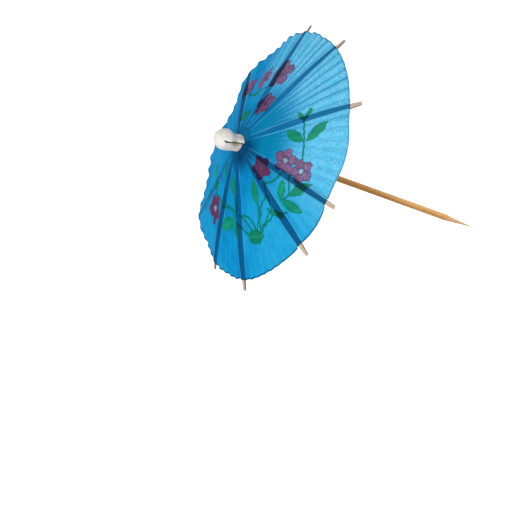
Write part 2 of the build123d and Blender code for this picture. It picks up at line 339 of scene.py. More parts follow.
# %% Places round the rim
rim_shift, rim_shift_turn, scallop_depth = 0.35 * mm, math.radians(70), 0.5 * mm
rim_places = [  # direction in degrees, then how far the rim is lifted and how far it stands out, in mm
    (0, 0, -0.1),
    (20, 0.4, 0.6),
    (40, -0.2, -0.15),
    (58, 0.1, 0.05),
    (86, -0.45, -0.25),
    (104, 0.2, 0.1),
    (120, -0.25, -0.15),
    (134, 0.35, 0.25),
    (148, 0.1, 0.1),
    (160, 0.25, 0.4),
    (172, 0, 0),
    (190, -0.05, 0.2),
    (210, 0.1, -0.15),
    (250, -0.45, 0.25),
    (262, 0.05, -0.05),
    (280, -0.4, 0.25),
    (302, 0.35, -0.25),
    (332, 0.25, -0.25),
]
rim_turns, rim_lifts, rim_drifts = zip(*rim_places)
towards = given["Rib direction"] + gap * share * hand


def round_the_rim(offsets):
    """A smooth curve through the rim's places. Its 0 to 1 stands for offsets from -1 to 1 mm."""
    made = node(t, "ShaderNodeFloatCurve", {"Value": (towards / math.tau).calc("FRACT")})
    knots = made.mapping.curves[0].points
    knots[0].location = (0, 0.5 + offsets[0] / 2)
    knots[1].location = (1, 0.5 + offsets[0] / 2)
    for turned, offset in zip(rim_turns[1:], offsets[1:]):
        knots.new(turned / 360, 0.5 + offset / 2)
    made.mapping.update()
    return (wire(t, made) - 0.5) * 2 * mm


lift, drift = round_the_rim(rim_lifts), round_the_rim(rim_drifts)
off_centre = rim_shift * (towards - rim_shift_turn).calc("COSINE")
rim = paper_rim + off_centre + drift - scallop_depth * crest
print("rim curve:", len(rim_places), "places")

# %% [markdown]
# ## Where each point of a gore goes
# On the rib the paper follows the rib's own arc, and towards the middle of a gap it goes over to the next
# rib's. From there it drops by its sag, its fold, and the slat's thickness beside the glue, and it warps
# most at the rim, where it is least held. The tree also stores where each point lies on the flat sheet, for
# the finish to draw folds and ribs by.

# %% Place across and along
glue_past_rib, most_glued = 0.15 * mm, 0.3
glued_half = rib_width / 2 + glue_past_rib
reach = paper_inner + (rim - paper_inner) * outwards
grown = reach / paper_rim
glued = (glued_half / reach).calc("MINIMUM", gap * most_glued)
angle = glued * in_band + (gap - glued * 2) * share
bearing = given["Rib direction"] + angle * hand
x = reach * bearing.calc("COSINE")
y = reach * bearing.calc("SINE")
geometry = wire(t, grid, "Mesh")
stored_values = {
    "reach": reach,
    "across": reach * angle.calc("SINE") * hand,
    "fold": fold * hand,
    "outwards": outwards,
    "number": given["Seed"],
}
for label, value in stored_values.items():
    what = {"Geometry": geometry, "Name": label, "Value": value}
    stored = node(t, "GeometryNodeStoreNamedAttribute", what, data_type="FLOAT", domain="POINT")
    geometry = wire(t, stored)
print("stored on a gore:", *stored_values)

# %% Height
sag, pleat_depth = 0.2 * mm, 0.55 * mm
slat_step, step_steepness, step_from, step_full = 0.35 * mm, 40, 8 * mm, 26 * mm
wave_height, wave_turn, waves_round, far_side_lead = 0.7 * mm, math.radians(21), 10, 0.1
ripple_depth, ripple_scale = 0.12 * mm, 170.0


def root_of(value):
    return value.calc("SQRT")


own_line = rib_line(given["Bow"], reach, root_of)
next_line = rib_line(on_this_side("Bow"), reach, root_of)
top = own_line + (next_line - own_line) * share
free = fold.calc("MINIMUM", 1)
beside = (past_band * step_steepness).calc("MINIMUM", 1) * reach.over(step_from, step_full)
drop = sag * 4 * share * (1 - share) * grown * grown + pleat_depth * grown * crest + slat_step * beside
far_side = (towards + far_side_lead).calc("SINE").calc("MAXIMUM", 0)
waves = ((towards - wave_turn) * waves_round).calc("COSINE")
wave = (wave_height * waves * far_side + lift) * free * grown * grown
buckle = noise(point(x, y, sag), ripple_scale) - 0.5
ripple = ripple_depth * 2 * buckle * free * grown
goes_to = point(x, y, top - drop + wave + ripple)
moved = node(t, "GeometryNodeSetPosition", {"Geometry": geometry, "Position": goes_to})
smooth = node(t, "GeometryNodeSetShadeSmooth", {"Geometry": wire(t, moved)})
dressed = node(t, "GeometryNodeSetMaterial", {"Geometry": wire(t, smooth), "Material": given["Finish"]})
node(t, "NodeGroupOutput", {"Geometry": wire(t, dressed)})
print("gore tree:", len(t.nodes), "nodes")

# %% [markdown]
# ## The printed spray
# Such parasols carry a simple floral print: five-petalled flowers in plum with a pale eye, on thin stems
# with pointed leaves. A picture file could be laid over the paper, but a print drawn by distance stays
# sharp at any size: every point of the mesh stores how far it is from the nearest petal, leaf and stem, and
# the finish turns that into ink. Places are (direction in degrees, distance from the stick in mm), seen
# from above.

# %% Print places
flowers = [  # direction, distance, size, turn, eye, darkness
    (269, 20.6, 4.2, 20, 0.7, 0.1),
    (266, 27.6, 4.2, 58, 1.0, 0.0),
    (248, 13.4, 3.9, 8, 0.1, 1.0),
    (144, 27.5, 4.8, 30, 0.8, 1.0),
    (8, 25.5, 5.0, 15, 0.0, 0.1),
    (31, 26.0, 4.2, 40, 0.0, 0.0),
    (53, 28.5, 4.2, 0, 0.0, 0.0),
    (0, 14.5, 4.1, 25, 0.0, 0.5),
]
leaves = [  # base, tip, width
    ((287, 25.0), (297, 18.6), 3.6),
    ((287, 26.0), (299, 33.2), 3.6),
    ((302, 24.8), (312, 27.5), 2.0),
    ((303, 24.8), (313, 22.6), 1.6),
    ((56, 13.7), (24, 11.0), 4.0),
    ((42, 21.2), (27, 20.6), 2.2),
    ((240, 25.5), (254, 22.6), 3.0),
    ((247, 27.0), (262, 33.2), 3.3),
    ((240, 25.5), (246, 34.6), 3.3),
    ((218, 21.4), (226, 13.4), 3.0),
    ((183, 16.8), (170, 10.7), 3.2),
    ((151, 15.0), (132, 9.7), 2.4),
    ((137, 24.0), (129, 19.8), 3.0),
    ((183, 23.6), (161, 28.7), 4.2),
    ((185, 23.2), (184, 29.6), 2.8),
    ((229, 25.6), (236, 31.2), 2.2),
    ((198, 28.7), (214, 30.4), 4.6),
    ((110, 26.0), (125, 21.9), 2.6),
]
stems = [  # places along each stem
    ((213, 29), (220, 27.6), (227, 27.3), (230, 25), (235, 20), (239, 17)),
    ((210, 27.8), (216, 23.9), (219, 21.3)),
    ((209, 27.7), (205, 23.8), (195, 21.9)),
    ((199, 28), (192, 25.7), (185, 23.9), (181, 20.8), (163, 21.4)),
    ((184, 23.6), (183, 19.4), (183, 16.8)),
    ((213, 27.7), (222, 22.2), (233, 21)),
    ((240, 25.5), (247, 27), (254, 25.4), (260, 24.7)),
    ((239, 17.9), (246, 19.5), (257, 21.4)),
    ((274, 26.4), (287, 25.3), (302, 24.8)),
    ((8, 22), (25, 20.4), (42, 21.2), (50, 25)),
    ((137, 24), (147, 22), (163, 21.4)),
    ((205, 27.8), (199, 24.2), (192, 22.1)),
    ((183, 23.1), (176, 20.8), (164, 20.2), (158, 19.0), (159, 16.3)),
    ((184, 22.8), (188, 20.2), (182, 17.1)),
    ((159, 22.7), (166, 21), (175, 20.2)),
    ((212, 28.8), (224, 26.1), (231, 24.7), (234, 21.9)),
    ((227, 24.2), (228, 26.1), (232, 28.3), (238, 29.8)),
]


def spot(place_on_paper):
    """A print place as x and y in mm."""
    direction, distance = place_on_paper
    return distance * np.array((math.cos(math.radians(direction)), math.sin(math.radians(direction))))


print("print:", len(flowers), "flowers,", len(leaves), "leaves,", len(stems), "stems")

# %% Distances to the flowers
far_off = 9.0
petal_count, petal_long, petal_wide, petal_out, petal_drift = 5, 0.5, 0.41, 0.52, 0.03


def flower_distances(places):
    """For points in mm: how far they are from the nearest petal, and how its flower looks.

    The first rows hold the distance from the petal's edge, how much farther the next petal is, and the
    distance from the flower's middle as a share of its size. The second hold its eye and its darkness.
    """
    outline, between, middle, eyes, tones = (np.full(len(places), far_off) for _ in range(5))
    for direction, distance, size, turned, eye, tone in flowers:
        off = places - spot((direction, distance))
        petals = []
        for k in range(petal_count):
            a = math.radians(turned + direction + 360 / petal_count * k)
            long, short = (petal_long + petal_drift * math.cos(3 * k)) * size, petal_wide * size
            u = off @ (math.cos(a), math.sin(a)) - petal_out * size
            v = off @ (-math.sin(a), math.cos(a))
            petals.append((np.hypot(u / long, v / short) - 1) * short)
        petals = np.sort(petals, axis=0)
        nearer = petals[0] < outline
        outline = np.where(nearer, petals[0], outline)
        between = np.where(nearer, petals[1] - petals[0], between)
        middle = np.where(nearer, np.hypot(*off.T) / size, middle)
        eyes, tones = np.where(nearer, eye, eyes), np.where(nearer, tone, tones)
    return np.stack((outline, between, middle), axis=1), np.stack((eyes, tones, 0 * tones), axis=1)


stick_to_petal = flower_distances(np.zeros((1, 2)))[0][0, 0]
print("petal edge at the stick:", round(float(stick_to_petal), 2), "mm")

# %% Distances to the leaves and stems
stem_steps = 14


def leaf_distances(places):
    """For points in mm: distance from the nearest leaf's edge, less than 0 inside, and from its vein."""
    outline, vein = (np.full(len(places), far_off) for _ in range(2))
    for base, tip, width in leaves:
        start, end = spot(base), spot(tip)
        run = np.linalg.norm(end - start)
        way = (end - start) / run
        off = places - (start + end) / 2
        u, v = off @ way, off @ (-way[1], way[0])
        arc = ((run / 2) ** 2 + (width / 2) ** 2) / width
        inside = np.hypot(u, np.abs(v) + arc - width / 2) - arc
        nearer = inside < outline
        outline = np.where(nearer, inside, outline)
        vein = np.where(nearer, np.abs(v), vein)
    return np.stack((outline, vein, 0 * vein), axis=1)


def stem_distances(places):
    """For points in mm: distance from the nearest stem, a smooth curve through its places."""
    nearest = np.full(len(places), far_off)
    for stem in stems:
        knots = np.array([spot(p) for p in stem])
        knots = np.vstack((2 * knots[0] - knots[1], knots, 2 * knots[-1] - knots[-2]))
        for a, b, c, d in zip(knots, knots[1:], knots[2:], knots[3:]):
            for s in np.linspace(0, 1, stem_steps):
                on = b + 0.5 * s * (c - a + s * (2 * a - 5 * b + 4 * c - d + s * (3 * (b - c) + d - a)))
                nearest = np.minimum(nearest, np.hypot(*(places - on).T))
    return nearest


print("leaf edge at the stick:", round(float(leaf_distances(np.zeros((1, 2)))[0, 0]), 2), "mm")

# %% [markdown]
# ## Paper finish
# The paper is thin, dyed in the pulp and full of short fibres, so light that comes through it looks
# mottled, and light from the front even. Two shaders give a rough lit face and light from behind, and the
# mottling is painted light in the colour, on the backlit side. Everything else, painted shade and
# highlight among it, goes into one colour, in coats laid on in the order a maker would: dye, folds, print.


# %% Helpers for finishes
def new_finish(name):
    """An empty procedural material, its tree, and object coordinates, which follow the piece."""
    finish = bpy.data.materials.new(name)
    finish.use_nodes = True
    tree = finish.node_tree
    tree.nodes.clear()
    return finish, tree, wire(tree, node(tree, "ShaderNodeTexCoord"), "Object")


def as_colour(value):
    """A wire as it is, or a colour on a screen, 0 to 255, as the linear values that shaders use."""
    if isinstance(value, Wire):
        return value
    parts = [c / 255 for c in value]
    linear = [c / 12.92 if c <= 0.04045 else ((c + 0.055) / 1.055) ** 2.4 for c in parts]
    return (*linear, 1.0)


def coats(base, *layers):
    """Lay coats over a base colour one after another. Each coat is an amount, by wire, and a colour."""
    colour = as_colour(base)
    for amount, over in layers:
        made = node(amount.tree, "ShaderNodeMix", {"Factor": amount}, data_type="RGBA")
        plug(amount.tree, made.inputs[6], colour)
        plug(amount.tree, made.inputs[7], as_colour(over))
        colour = wire(amount.tree, made, 2)
    return colour


def attribute(tree, name, output="Fac"):
    """A value that the mesh carries."""
    return wire(tree, node(tree, "ShaderNodeAttribute", attribute_name=name), output)


def bump(height, strength, depth):
    """A surface direction from a height, for relief finer than the mesh."""
    inputs = {"Strength": strength, "Distance": depth, "Height": height}
    return wire(height.tree, node(height.tree, "ShaderNodeBump", inputs))


def finish_with(tree, shader):
    """Close a finish with the shader that a node gives."""
    node(tree, "ShaderNodeOutputMaterial", {"Surface": wire(tree, shader)})


def surface(colour, roughness, relief, more=None):
    """Close a finish with one shader: its colour, roughness and relief, and more inputs by name."""
    looks = {"Base Color": colour, "Roughness": roughness, "Normal": relief, **(more or {})}
    finish_with(colour.tree, node(colour.tree, "ShaderNodeBsdfPrincipled", looks))


def milky(share, *depths):
    """Inputs for plastic that light goes into: how much of it, and how deep red, green and blue go."""
    return {"Subsurface Weight": share, "Subsurface Radius": depths, "Subsurface Scale": 1.0}


print("finish helpers ready")

# %% [markdown]
# ## Dye
# The dye is a plain blue, but the sheet isn't even: the pulp is cloudy. Towards the right as the camera
# sees it, where light comes through from behind, the paper is painted paler, with pale flecks and fibres:
# that is painted light. The coats go by direction and distance from the stick, so each patch stays where it
# is on the paper.

# %% Pulp and fibres
paper, t, where = new_finish("dyed pleated paper")
px, py, _ = parts_of(where)
reach_at, across, fold_at, outwards_at, number_at = (attribute(t, label) for label in stored_values)
reach_safe = reach_at.calc("MAXIMUM", 1 * mm)


def towards_side(degrees):
    """1 in this direction from the stick, falling to -1 on the far side."""
    turned = math.radians(degrees)
    return (px * math.cos(turned) + py * math.sin(turned)) / reach_safe


flecks = noise(where, 1900.0, 4.0, 0.65)
clouds = noise(where, 260.0, 3.0, 0.6)
patches = noise(where, 70.0, 2.0)
hairs = [(noise(where, scale, 2.0, 0.5, 1.4) - 0.5).calc("ABSOLUTE") for scale in (620.0, 1100.0)]
fibre = hairs[0].under(0.004, 0.03).calc("MAXIMUM", hairs[1].under(0.004, 0.028))
print("pulp:", len(t.nodes), "nodes")

# %% Dye on the pulp
# Painted light: where light comes through from behind, the paper is painted paler and mottled.
painted_backlight = towards_side(322).over(0.05, 0.8) * reach_at.over(14 * mm, 31 * mm)
# Painted light: paler towards the side that the key lamp faces.
painted_lit_side = towards_side(244).over(0.55, 0.97) * reach_at.over(12 * mm, 28 * mm)
teal = towards_side(300).over(0.3, 0.8) * reach_at.under(14 * mm, 24 * mm)
dye = coats(
    (0, 134, 196),
    (clouds.over(0.3, 0.7), (0, 154, 214)),
    (patches.over(0.45, 0.65) * reach_at.over(14 * mm, 30 * mm) * 0.45, (30, 172, 226)),
    (painted_lit_side * (clouds * 0.6 + 0.3), (44, 182, 232)),
    (painted_backlight * (clouds * 0.5 + 0.55), (84, 204, 246)),
    (teal * patches.over(0.2, 0.55) * 0.8, (0, 134, 178)),
    (painted_backlight * flecks.over(0.5, 0.72) * 0.55, (178, 230, 250)),
    (painted_backlight * fibre * 0.45, (190, 236, 252)),
    (painted_backlight * flecks.under(0.3, 0.46) * 0.5, (10, 156, 220)),
)
print("paper dye:", len(t.nodes), "nodes")

# %% [markdown]
# ## Folds, ribs and rim
# A hard-pressed fold shows as a dark line in its valley, painted shade, and a pale one on its ridge, a
# painted highlight, both stronger on the backlit side, and each pleat has its own chance of being sharp.
# Where a slat is glued under the paper no light comes through, so that band is painted darkest: partly
# glue and partly painted shade, lighter on the backlit side, and it is painted wider on one side, partly
# soaked glue and partly painted shade beside the slat. Painted shade darkens the paper near the hub and
# under the cap, and the cut rim is dark.

# %% Folds
run = noise(point(fold_at * 1.3, reach_at * 55, px * 30), 1.0, 2.0)
crinkle = noise(point(fold_at * 9, reach_at * 130, px * 40), 1.0, 3.0, 0.6)
from_valley = (fold_at.calc("PINGPONG", 1) - 1).calc("ABSOLUTE")
valley_shade = from_valley.under(0.04, 0.2)
ridge_highlight = (1 - from_valley).under(0.03, 0.16)
sharp = chance(point((fold_at / 2).calc("FLOOR"), number_at))
creased = run.over(0.25, 0.5) * (reach_at - sharp * 14 * mm).over(3 * mm, 16 * mm)
backlit_creases = towards_side(345).over(0.55, 0.92) * 0.85 + 0.12
# Painted shade: darker near the hub, and darker still in the cap's shadow on one side.
hub_shade = reach_at.under(4 * mm, 14 * mm)
cap_shadow = towards_side(225).over(0.1, 0.8) * reach_at.under(5 * mm, 11 * mm)
# Painted shade in dark crinkles and valley lines, painted highlight on pale ridge lines, stronger on the
# backlit side.
dye = coats(
    dye,
    (crinkle.under(0.3, 0.42) * (painted_backlight * 0.35 + 0.08), (0, 118, 188)),
    (ridge_highlight * creased * backlit_creases * 0.6, (150, 222, 248)),
    (from_valley.under(0.1, 0.7) * backlit_creases * sharp * 0.35, (14, 150, 212)),
    (valley_shade * creased * (sharp * 0.7 + 0.3) * backlit_creases, (0, 98, 166)),
    (hub_shade * 0.5, (0, 116, 176)),
    (cap_shadow * 0.85, (0, 60, 112)),
)
print("paper with folds:", len(t.nodes), "nodes")

# %% Ribs and rim
rib_share = reach_at.over(2 * mm, 16 * mm)
near_rim = reach_at.over(33 * mm, 40 * mm)
rib_half = rib_share * 0.5 * mm + 0.45 * mm - near_rim * 0.15 * mm
# Painted wider on one side of each rib, partly as soaked glue and partly as painted shade beside the slat.
glue_and_shade_side = ((px / reach_safe) * across.calc("SIGN") * -1).calc("MAXIMUM", 0)
from_rib = across.calc("ABSOLUTE") - rib_half - glue_and_shade_side * rib_share * (0.75 - painted_backlight * 0.5) * mm
edge_line = (from_rib - 0.18 * mm).calc("ABSOLUTE").under(0.05 * mm, 0.22 * mm)
hidden_rib = towards_side(122).over(0.93, 0.99)
over_rib = from_rib.under(-0.1 * mm, 0.1 * mm) * (1 - hidden_rib * 0.75)
# The band is partly glue and partly painted shade where the slat blocks light from behind, lighter on the
# backlit side.
rib_glue_and_shade = coats((0, 98, 156), (towards_side(335).over(0.5, 0.9), (0, 128, 192)))
rim_line = outwards_at.over(0.982, 0.992)
dye = coats(
    dye,
    (edge_line * run.over(0.3, 0.6) * (rib_share * 0.4 + 0.25), (120, 208, 244)),
    (over_rib * (rib_share * 0.2 + 0.72), rib_glue_and_shade),
    (rim_line * (0.85 - painted_backlight * 0.4), (0, 80, 130)),
)
print("paper with ribs:", len(t.nodes), "nodes")

# %% [markdown]
# ## Inks
# The inks are thin, so the blue shows through, and the edges bleed along the fibres. Over a rib the print
# is painted nearly black, and leaves and stems in the cap's shadow darker, as painted shade, and on the
# backlit side petals get pale flecks of painted light. Leaves have a darker vein with a pale line beside
# it. Petals have dark outlines and flecks, and some flowers are redder than others.

# %% Green ink
into_leaf, vein, _ = parts_of(attribute(t, "leaf_print", "Vector"))
from_stem = attribute(t, "stem_print")
bleed = (noise(where, 1300.0, 2.0) - 0.5) * 0.6
# Painted shade over the ribs and in the cap's shadow, for the inks.
shaded = over_rib.calc("MAXIMUM", cap_shadow)
stem_green = coats((0, 120, 88), (shaded * 0.8, (0, 52, 62)))
leaf_green = coats(
    (0, 128, 84),
    (clouds.over(0.35, 0.65), (6, 152, 92)),
    (patches.over(0.4, 0.55) * vein.under(0.3, 1.2) * 0.7, (14, 130, 40)),
    (towards_side(206).over(0.985, 0.997) * 0.7, (0, 112, 40)),
    ((vein - 0.28).calc("ABSOLUTE").under(0.06, 0.2) * 0.3, (70, 186, 140)),
    (vein.under(0.08, 0.22) * 0.5, (0, 100, 70)),
    (into_leaf.over(-0.4, -0.1) * 0.5, (0, 122, 108)),
    (shaded * 0.85, (0, 50, 50)),
)
ink = coats(
    dye,
    ((from_stem + bleed * 0.5).under(0.26, 0.48) * 0.85, stem_green),
    ((into_leaf + bleed).under(-0.12, 0.12) * 0.88, leaf_green),
)
print("paper with leaves:", len(t.nodes), "nodes")

# %% Plum ink
into_petal, petal_gap, in_flower = parts_of(attribute(t, "flower_print", "Vector"))
eye_at, tone_at, _ = parts_of(attribute(t, "flower_look", "Vector"))
eye_ring = (in_flower - 0.27).calc("ABSOLUTE").under(0.03, 0.1)
petal = coats(
    (120, 54, 92),
    (clouds.over(0.3, 0.7), (140, 84, 132)),
    (flecks.over(0.5, 0.68) * 0.45, (196, 132, 160)),
    # Pale flecks of painted light on the backlit side.
    (flecks.over(0.48, 0.72) * painted_backlight.over(0.0, 0.6) * 0.45, (178, 190, 214)),
    (flecks.over(0.5, 0.75) * 0.3, (186, 130, 160)),
    ((tone_at * 0.95).calc("MINIMUM", 1) * clouds.over(0.0, 0.45), (110, 6, 48)),
    (petal_gap.under(0.1, 0.36) * 0.8, (52, 20, 66)),
    (into_petal.over(-0.4, -0.06) * 0.8, (52, 26, 84)),
    # Painted shade over a rib.
    (over_rib * 0.9, (26, 8, 58)),
    (eye_ring * eye_at * 0.55, (70, 36, 92)),
    (in_flower.under(0.13, 0.24) * eye_at * 0.85, (168, 206, 224)),
)
ink = coats(ink, ((into_petal + bleed).under(-0.14, 0.12) * 0.88, petal))
print("paper with flowers:", len(t.nodes), "nodes")

# %% Lit face and light from behind
light_through = 0.3
paper_bump = bump(flecks * 0.3 + crinkle * 0.8 + fibre * 0.25, 0.35, 0.12 * mm)
matt = {"Base Color": ink, "Roughness": 0.8, "Specular IOR Level": 0.08, "Normal": paper_bump}
front = node(t, "ShaderNodeBsdfPrincipled", matt)
behind = node(t, "ShaderNodeBsdfTranslucent", {"Color": ink, "Normal": paper_bump})
finish_with(t, node(t, "ShaderNodeMixShader", {0: light_through, 1: wire(t, front), 2: wire(t, behind)}))
print("paper finish:", len(t.nodes), "nodes")

# %% [markdown]
# ## Making the gores
# Each gore gets its rib's direction and its two gaps, is turned into a plain mesh, and stores its distances
# to the print. On the real umbrella the strip that is glued along the rib stays flat when the umbrella
# folds, and the pleats on either side shut like a fan. Here the sheet is parted along the edges of the glue
# into the strip and the pleats on each side, and all three ride on the rib.


# %% From a tree to a plain mesh
def settle(piece, rule):
    """Keep what a modifier makes of a piece as its plain mesh."""
    bpy.context.view_layer.update()
    graph = bpy.context.evaluated_depsgraph_get()
    seen = piece.evaluated_get(graph)
    mesh = bpy.data.meshes.new_from_object(seen, preserve_all_data_layers=True, depsgraph=graph)
    piece.modifiers.remove(rule)
    bare, piece.data = piece.data, mesh
    bpy.data.meshes.remove(bare)
    mesh.name = piece.name


def made_by(tree, name, values):
    """Run a geometry tree with these inputs and keep the result as a plain mesh."""
    piece = add_to_scene(name, bpy.data.meshes.new(name))
    rule = piece.modifiers.new("rule", "NODES")
    rule.node_group = tree
    for item in tree.interface.items_tree:
        if item.in_out == "INPUT" and item.name in values:
            rule[item.identifier] = values[item.name]
    settle(piece, rule)
    return piece


def points_of(mesh):
    """A mesh's points as rows of x, y, z."""
    flat_list = np.empty(len(mesh.vertices) * 3)
    mesh.vertices.foreach_get("co", flat_list)
    return flat_list.reshape(-1, 3)


def mesh_area(mesh):
    return sum(face.area for face in mesh.polygons)


def store(mesh, name, values):
    """Keep a number or a vector on every point of a mesh."""
    kind, field = ("FLOAT", "value") if values.ndim == 1 else ("FLOAT_VECTOR", "vector")
    made = mesh.attributes.new(name, kind, "POINT")
    made.data.foreach_set(field, values.astype(np.float32).ravel())


def print_on(mesh):
    """Store how far every point of a gore is from the print."""
    places = points_of(mesh)[:, :2] / mm
    petals, looks = flower_distances(places)
    store(mesh, "flower_print", petals)
    store(mesh, "flower_look", looks)
    store(mesh, "leaf_print", leaf_distances(places))
    store(mesh, "stem_print", stem_distances(places))


# %% Parting a gore
def cut_from(sheet, name, side):
    """One part of a gore as its own piece: the glued strip for 0, or the pleats on one side of it."""
    parts = bmesh.new()
    parts.from_mesh(sheet.data)
    fold_of = parts.verts.layers.float["fold"]
    others = []
    for face in parts.faces:
        turn = sum(corner[fold_of] for corner in face.verts)
        if side != (turn > 1e-6) - (turn < -1e-6):
            others.append(face)
    bmesh.ops.delete(parts, geom=others, context="FACES")
    mesh = sheet.data.copy()
    parts.to_mesh(mesh)
    parts.free()
    mesh.name = name
    return add_to_scene(name, mesh)


# %% Ten gores
fold_angle = math.radians(3)
closed_lean, closed_share = math.radians(7), 0.9
closed_hub = 2.5 * mm
pleat_allowance = 1.06
sheet_long = rib_length - bare_tip - paper_inner + pivot_radius
closed_rim = (pivot_radius + (rib_length - bare_tip) * math.sin(closed_lean)) * closed_share
sheets = []
for k, rib in enumerate(rib_names):
    before, after = rib_gaps[k - 1], rib_gaps[k]
    values = {"Rib direction": rib_turns[k], "Bow": rib_bows[k], "Seed": float(k), "Finish": paper}
    for side, gap, other in (("before", before, k - 1), ("after", after, (k + 1) % rib_count)):
        values[f"Gap {side}"] = gap
        values[f"Folds {side}"] = float(round(gap / 2 / fold_angle))
        values[f"Bow {side}"] = rib_bows[other]
    gore = made_by(gore_tree, f"gore_{k + 1}", values)
    print_on(gore.data)
    tangent = Vector((-math.sin(rib_turns[k]), math.cos(rib_turns[k]), 0))
    sides = sorted([(before, -1, "pleats_before"), (after, 1, "pleats_after")])
    for gap, side, part in [(0, 0, "strip")] + sides:
        piece = cut_from(gore, f"gore_{k + 1}_{part}", side)
        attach(piece, rib)
        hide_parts(f"canopy_gore_{k + 1}")
        if side:
            open_half, closed_half = paper_rim * math.sin(gap / 2), closed_rim * math.tan(gap / 2)
            edge = min(glued_half, closed_hub * math.tan(gap / 2))
            keep = (closed_half - edge) / (open_half - edge)
            tangent * edge * side
            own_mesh(piece)
    # The wider side comes last, and stands for the whole gore in the printed list of sheets.
    wide, cut = gap / 2 * paper_rim * pleat_allowance, mesh_area(piece.data)
    sheets.append((piece.name, round(wide / mm, 1), round(sheet_long / mm, 1), round(cut / mm**2)))
    bpy.data.objects.remove(gore)
print("gores, flat width, length and area in mm:", *sheets, sep="\n  ")

# %% [markdown]
# ## Surfaces from rows of points
# The cap, crown, stick and small tubes are turned or rolled shapes. All are a skin over rows of points, so
# one helper makes that skin, closes it round or along where asked, and merges the points that meet at a
# tip.


# %% Skin over rows of points
def skin(name, rows_of_points, around=False, closed=False, turn_out=True):
    """A smooth mesh through rows of points.

    around joins the two ends of every row, and closed joins the last row to the first.
    """
    block = np.asarray(rows_of_points, float)
    n, m = block.shape[:2]
    faces = []
    for i in range(n if closed else n - 1):
        for j in range(m if around else m - 1):
            a, b = (i + 1) % n, (j + 1) % m
            faces.append((i * m + j, a * m + j, a * m + b, i * m + b))
    mesh = bpy.data.meshes.new(name)
    mesh.from_pydata(block.reshape(-1, 3).tolist(), [], faces)
    work = bmesh.new()
    work.from_mesh(mesh)
    bmesh.ops.remove_doubles(work, verts=work.verts, dist=1e-7)
    if turn_out:
        bmesh.ops.recalc_face_normals(work, faces=work.faces)
    for face in work.faces:
        face.smooth = True
    work.to_mesh(mesh)
    work.free()
    return add_to_scene(name, mesh)


# %% Rows round the stick, thickness and dress
def even_turns(columns):
    """Angles at even steps once round."""
    return np.arange(columns) * math.tau / columns


def round_axis(radius, turns, height):
    """Points round the stick's axis. Radius and height are one number, or one for each point."""
    return np.stack((radius * np.cos(turns), radius * np.sin(turns), height + 0 * turns), axis=1)


def thicken(piece, thickness):
    """Give a sheet its thickness inwards and keep the result as a plain mesh, outer points first."""
    solid = piece.modifiers.new("thickness", "SOLIDIFY")
    solid.thickness, solid.offset, solid.use_even_offset = thickness, -1, True
    settle(piece, solid)


def cover(piece, finish):
    """Give a piece one finish in place of any that it has."""
    piece.data.materials.clear()
    piece.data.materials.append(finish)


def dress(piece, finish, body, slot, *nodes):
    """Give a new piece its finish and its body, and hide the CAD pieces it stands for. slot is not used."""
    cover(piece, finish)
    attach(piece, body)
    if nodes:
        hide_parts(*nodes)


print("helpers for turned and rolled pieces ready")

# %% [markdown]
# ## Crown
# Where the pleats meet at the stick, a small disc of the same paper is pushed over the stick and covers the
# ends of the gores. It is pleated too, more tightly, and has the gores' finish, so its points carry the
# same values: the distance from the nearest rib, and no print.

# %% Crown of paper
crown_low, crown_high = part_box("canopy_crown")
crown_hole, crown_flat, crown_edge = 1.0 * mm, 3.5 * mm, (crown_high.x - crown_low.x) / 2
crown_pleats, crown_depth, paper_half = 30, 0.16 * mm, 0.05 * mm
crown_z = crown_high.z - paper_half
turns = even_turns(8 * crown_pleats)
pleats = np.abs(((turns * crown_pleats / math.tau) % 1) * 2 - 1) - 0.5
crown_rows = []
for share_out in np.linspace(0, 1, 26):
    radius = crown_hole + (crown_edge - crown_hole) * share_out
    height = crown_z - max(0.0, paper_height(crown_flat) - paper_height(max(radius, crown_flat)))
    spread = radius - crown_depth * share_out * (pleats + 0.5 * np.sin(7 * turns))
    rise = height + crown_depth * share_out * (pleats + 0.6)
    crown_rows.append(round_axis(spread, turns, rise))
crown = skin("crown", crown_rows, around=True, turn_out=False)

crown_x, crown_y, _ = points_of(crown.data).T
crown_reach = np.hypot(crown_x, crown_y)
off_ribs = (np.arctan2(crown_y, crown_x)[:, None] - np.array(rib_turns) + math.pi) % math.tau - math.pi
off_nearest = off_ribs[np.arange(len(off_ribs)), np.abs(off_ribs).argmin(axis=1)]
store(crown.data, "reach", crown_reach)
store(crown.data, "across", crown_reach * np.sin(off_nearest))
for level in ("fold", "outwards", "number"):
    store(crown.data, level, 0 * crown_reach)
for unprinted in ("flower_print", "flower_look", "leaf_print"):
    store(crown.data, unprinted, np.full((len(crown_reach), 3), far_off))
store(crown.data, "stem_print", np.full(len(crown_reach), far_off))
dress(crown, paper, "root", "canopy_paper", "canopy_crown")
print("crown:", round(2 * crown_edge / mm, 1), "mm across")

# %% [markdown]
# ## Cap
# The cap is soft white plastic rolled round the stick's end: a rounded head, and below it a slit where one
# side laps over the other and ends in a pointed flap on the paper. It is made as what it is, a sheet whose
# radius winds inwards as it goes round, closed into a dome above the slit and given its thickness by
# Solidify. Its inside is painted dark as painted shade, a brown patch of painted shade lies near the slit,
# and it is darker in patches towards its foot.

